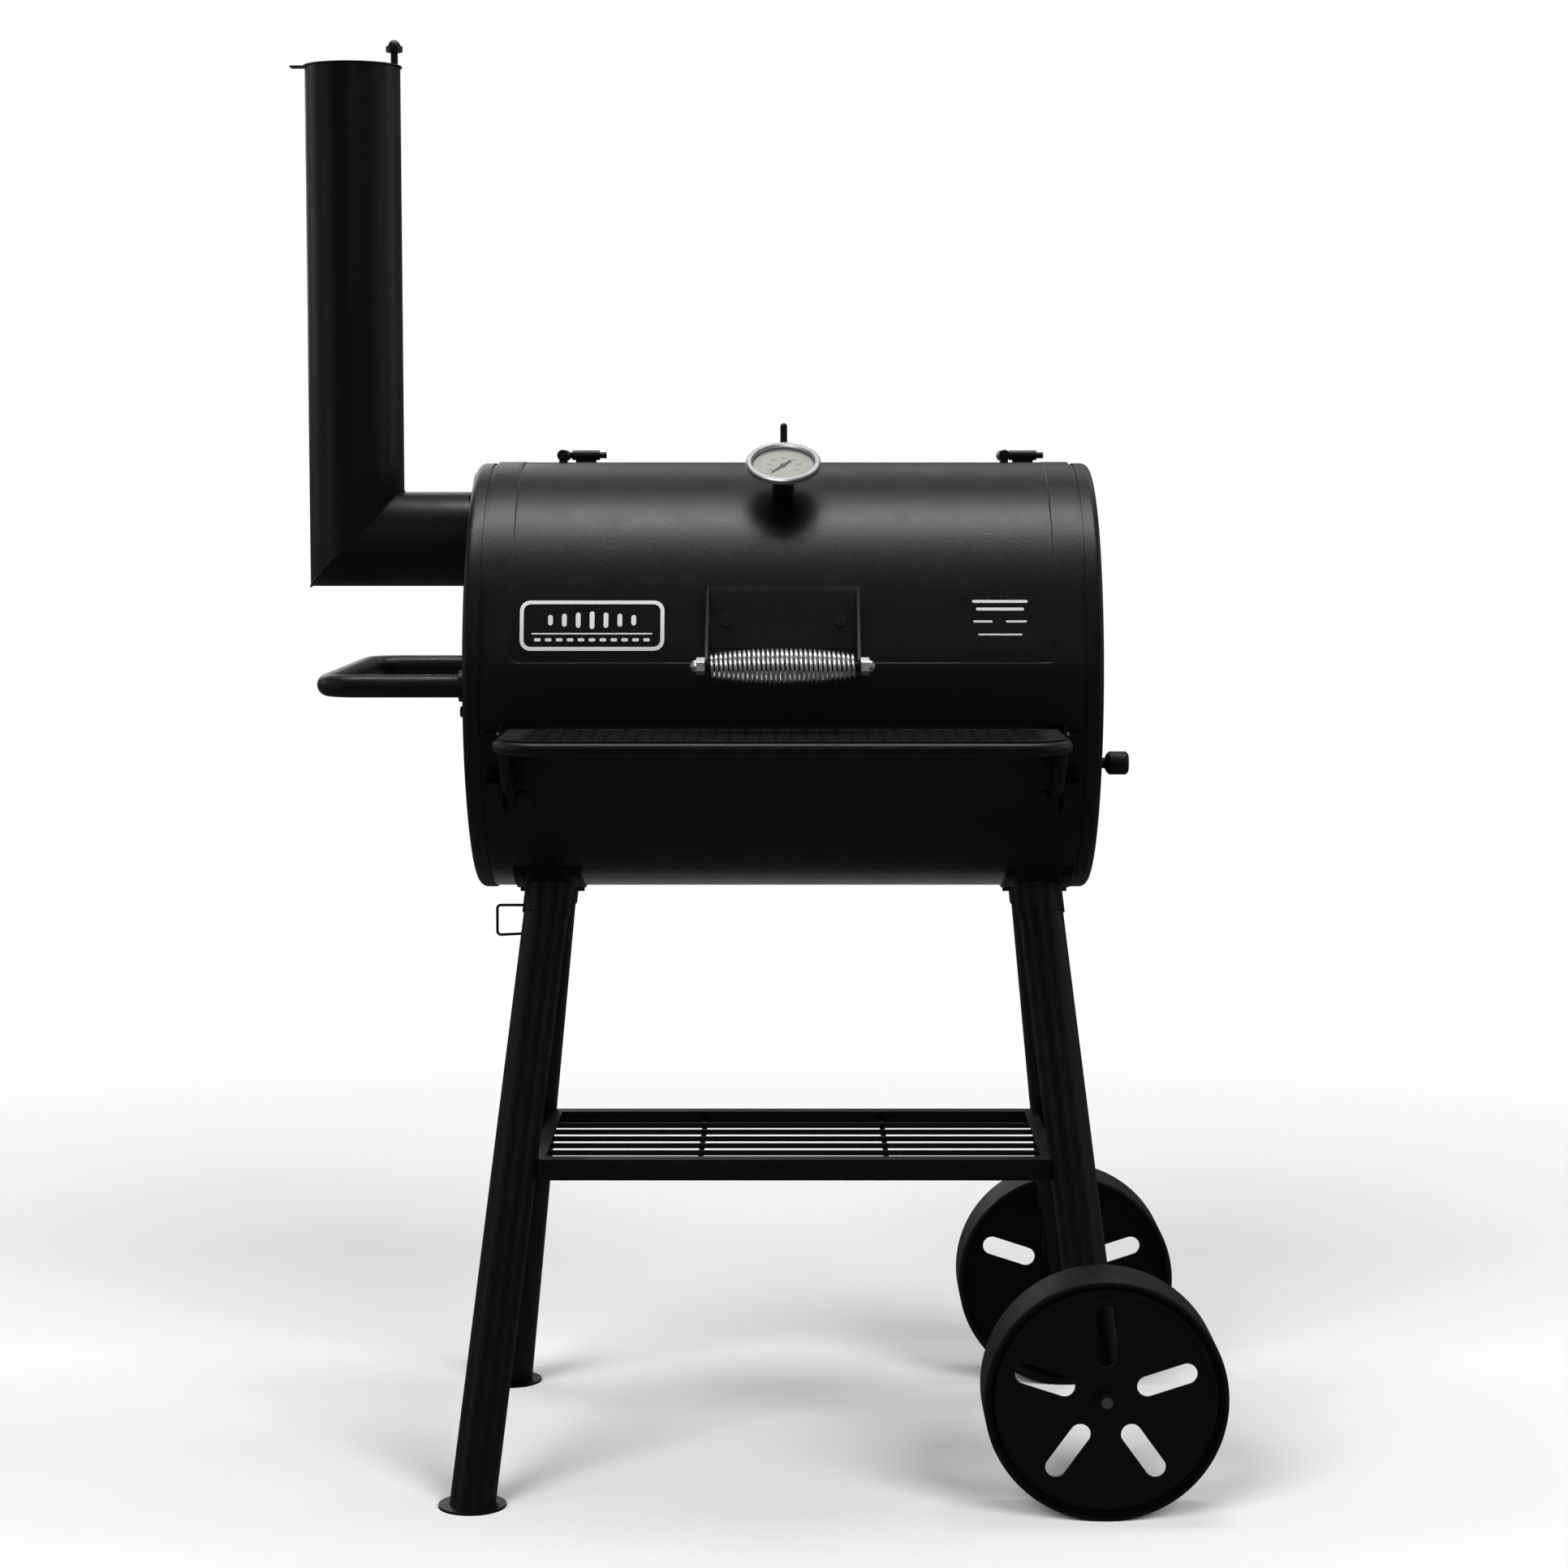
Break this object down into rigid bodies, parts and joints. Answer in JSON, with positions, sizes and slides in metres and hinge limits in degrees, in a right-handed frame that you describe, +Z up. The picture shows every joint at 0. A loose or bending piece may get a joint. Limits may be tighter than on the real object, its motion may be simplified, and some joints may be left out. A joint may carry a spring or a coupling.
{
  "type": "barrel smoker",
  "caption": "Barrel charcoal smoker on a two-wheel stand, with a hinged lid, a side chimney, a front shelf and a lower rack.",
  "frame": {"origin": "on the floor, under the middle of the whole object's box", "axes": "+X along the barrel away from the chimney, +Y from the front shelf to the back, +Z up"},
  "size_m": [1.006, 0.7296, 1.5651],
  "materials": {
    "black_paint": "satin black high-temperature paint",
    "black_paint_lid": "satin black high-temperature paint",
    "black_paint_pipe": "satin black high-temperature paint",
    "black_paint_stand": "satin black paint",
    "black_wire": "satin black paint",
    "black_bolts": "black oxide",
    "wheel_black": "matt black paint",
    "chrome": "bright plated",
    "steel": "bare steel",
    "dial_face": "pale printed dial",
    "needle_dark": "black",
    "glass": "clear",
    "cast_iron": "seasoned cast iron",
    "badge_black": "black plate with a white edge line",
    "knob_plastic": "matt black"
  },
  "bodies": {
    "barrel_and_stand": {"barrel_shell": "black_paint", "end_cap_left": "black_paint", "end_cap_right": "black_paint", "chimney_duct": "black_paint_pipe", "chimney_stack": "black_paint_pipe", "chimney_flange": "black_paint_pipe", "left_cap_bolts": "black_bolts", "damper_post": "black_bolts", "side_handle": "black_wire", "side_handle_flanges": "black_paint_stand", "hinge_tubes": "black_paint_stand", "lid_stop": "black_paint_stand", "shelf_rail": "black_wire", "shelf_mesh": "black_wire", "shelf_struts": "black_paint_stand", "left_shelf_bracket": "black_paint_stand", "right_shelf_bracket": "black_paint_stand", "shelf_fasteners": "black_bolts", "leg_sockets": "black_paint_stand", "front_left_leg": "black_paint_stand", "front_right_leg": "black_paint_stand", "rear_left_leg": "black_paint_stand", "rear_right_leg": "black_paint_stand", "front_foot": "black_paint_stand", "rear_foot": "black_paint_stand", "tool_hook": "black_wire", "rack_long_bars": "black_paint_stand", "rack_end_bars": "black_paint_stand", "rack_grid": "black_wire", "socket_bolts": "black_bolts", "axle": "steel", "axle_nuts": "black_bolts", "grate_ledges": "black_paint_stand", "left_cooking_grate": "cast_iron", "right_cooking_grate": "cast_iron", "warming_rack": "steel", "tray_hangers": "black_paint_stand", "air_damper_pivot": "black_bolts"},
    "lid": {"lid_shell": "black_paint_lid", "handle_bracket": "black_paint_lid", "handle_screws": "black_bolts", "handle_rod": "steel", "handle_grip": "chrome", "handle_nuts": "chrome", "badge_plate": "badge_black", "info_plate": "badge_black", "hinge_arms": "black_paint_lid", "gauge_neck": "black_paint_lid", "gauge_nut": "steel", "gauge_case": "chrome", "gauge_bezel": "chrome", "gauge_dial": "dial_face", "gauge_glass": "glass"},
    "gauge_pointer": {"gauge_needle": "needle_dark"},
    "chimney_top": {"chimney_damper": "black_paint_pipe"},
    "air_inlet": {"air_damper": "black_paint", "air_damper_knob": "knob_plastic"},
    "front_wheel_turning": {"front_wheel": "wheel_black"},
    "rear_wheel_turning": {"rear_wheel": "wheel_black"},
    "tray": {"charcoal_tray": "black_paint"}
  },
  "joints": [
    {"name": "lid_hinge", "type": "hinge", "parent": "barrel_and_stand", "child": "lid", "pos_m": [0.0375, 0.11375, 1.1128], "axis": [-1, 0, 0], "range_deg": [0, 95]},
    {"name": "pointer_turn", "type": "hinge", "parent": "lid", "child": "gauge_pointer", "pos_m": [0.0375, -0.08757, 1.10036], "axis": [0, 0.515, -0.8572], "range_deg": [0, 260]},
    {"name": "chimney_damper_swing", "type": "hinge", "parent": "barrel_and_stand", "child": "chimney_top", "pos_m": [-0.389, 0.05175, 1.536], "axis": [0, 0, 1], "range_deg": [0, 120]},
    {"name": "air_damper_turn", "type": "hinge", "parent": "barrel_and_stand", "child": "air_inlet", "pos_m": [0.3835, 0.05175, 0.7705], "axis": [1, 0, 0], "range_deg": [0, 45]},
    {"name": "front_wheel_spin", "type": "hinge", "parent": "barrel_and_stand", "child": "front_wheel_turning", "pos_m": [0.375, -0.22125, 0.128], "axis": [0, 1, 0], "continuous": true},
    {"name": "rear_wheel_spin", "type": "hinge", "parent": "barrel_and_stand", "child": "rear_wheel_turning", "pos_m": [0.375, 0.32475, 0.128], "axis": [0, 1, 0], "continuous": true},
    {"name": "tray_lift", "type": "slide", "parent": "barrel_and_stand", "child": "tray", "axis": [0, 0, 1], "range_m": [0, 0.055]}
  ]
}
